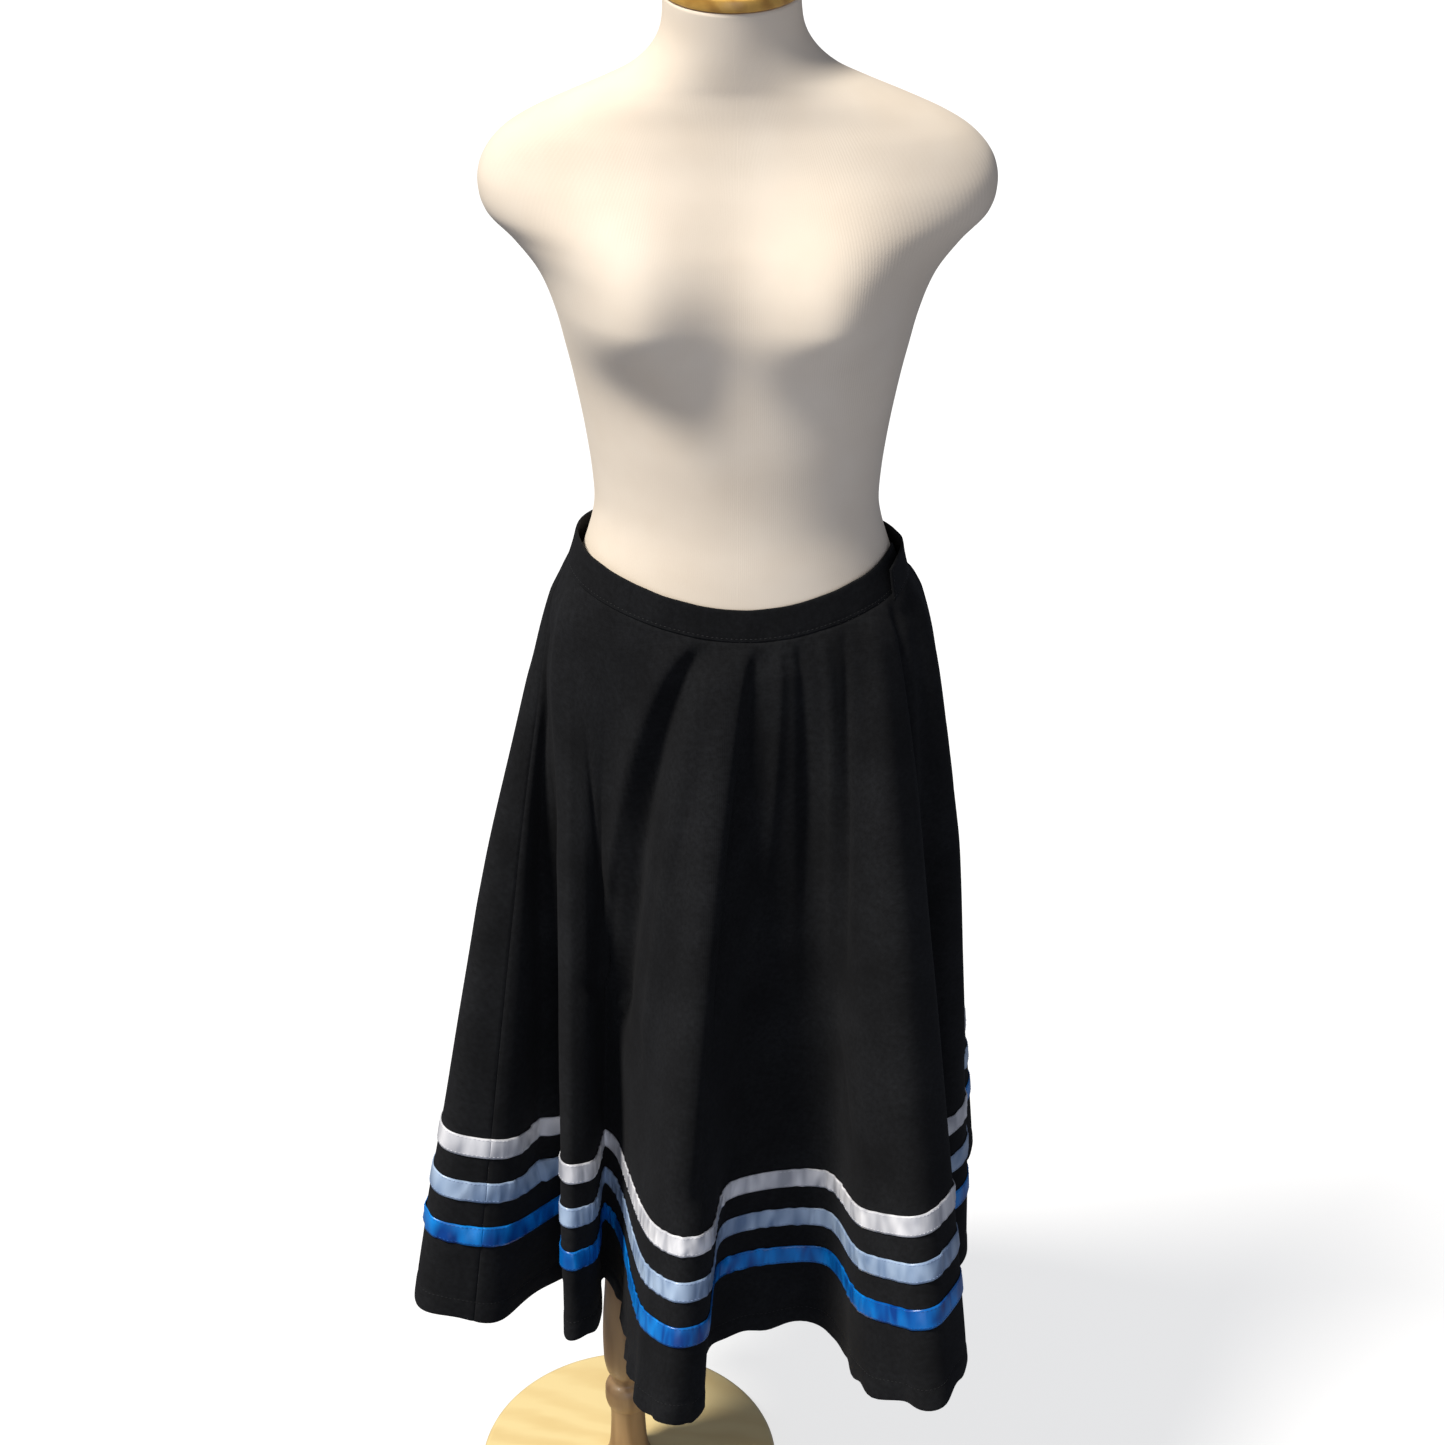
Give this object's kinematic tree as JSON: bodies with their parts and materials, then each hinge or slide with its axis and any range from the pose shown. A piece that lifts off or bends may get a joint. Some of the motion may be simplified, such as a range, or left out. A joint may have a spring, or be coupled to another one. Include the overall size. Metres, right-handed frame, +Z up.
{
  "type": "character dance skirt on a dress form",
  "caption": "Flared black character dance skirt with bands of satin ribbon above the hem, worn by a limbless jersey-covered dress form on a turned wooden pole and a round base.",
  "frame": {"origin": "centre of the round base's underside, on the floor, on the pole's axis", "axes": "+Z up, along the pole; -Y to the front of the skirt; +X to the viewer's right, the wearer's left, where the waistband overlaps"},
  "size_m": [0.5446, 0.6226, 1.5833],
  "materials": {
    "pale_wood": "satin",
    "turned_wood": "satin",
    "cap_wood": "satin",
    "ivory_jersey": "matte",
    "black_cloth": "matte",
    "white_satin": "satin",
    "pale_blue_satin": "satin",
    "royal_blue_satin": "satin"
  },
  "bodies": {
    "root": {"base_disc": "pale_wood", "pole": "turned_wood", "form_torso": "ivory_jersey", "neck_cap": "cap_wood", "skirt_front": "black_cloth", "skirt_back": "black_cloth", "waistband_front": "black_cloth", "waistband_back": "black_cloth", "ribbon_white_front": "white_satin", "ribbon_white_back": "white_satin", "ribbon_pale_blue_front": "pale_blue_satin", "ribbon_pale_blue_back": "pale_blue_satin", "ribbon_royal_blue_front": "royal_blue_satin", "ribbon_royal_blue_back": "royal_blue_satin"}
  },
  "joints": []
}
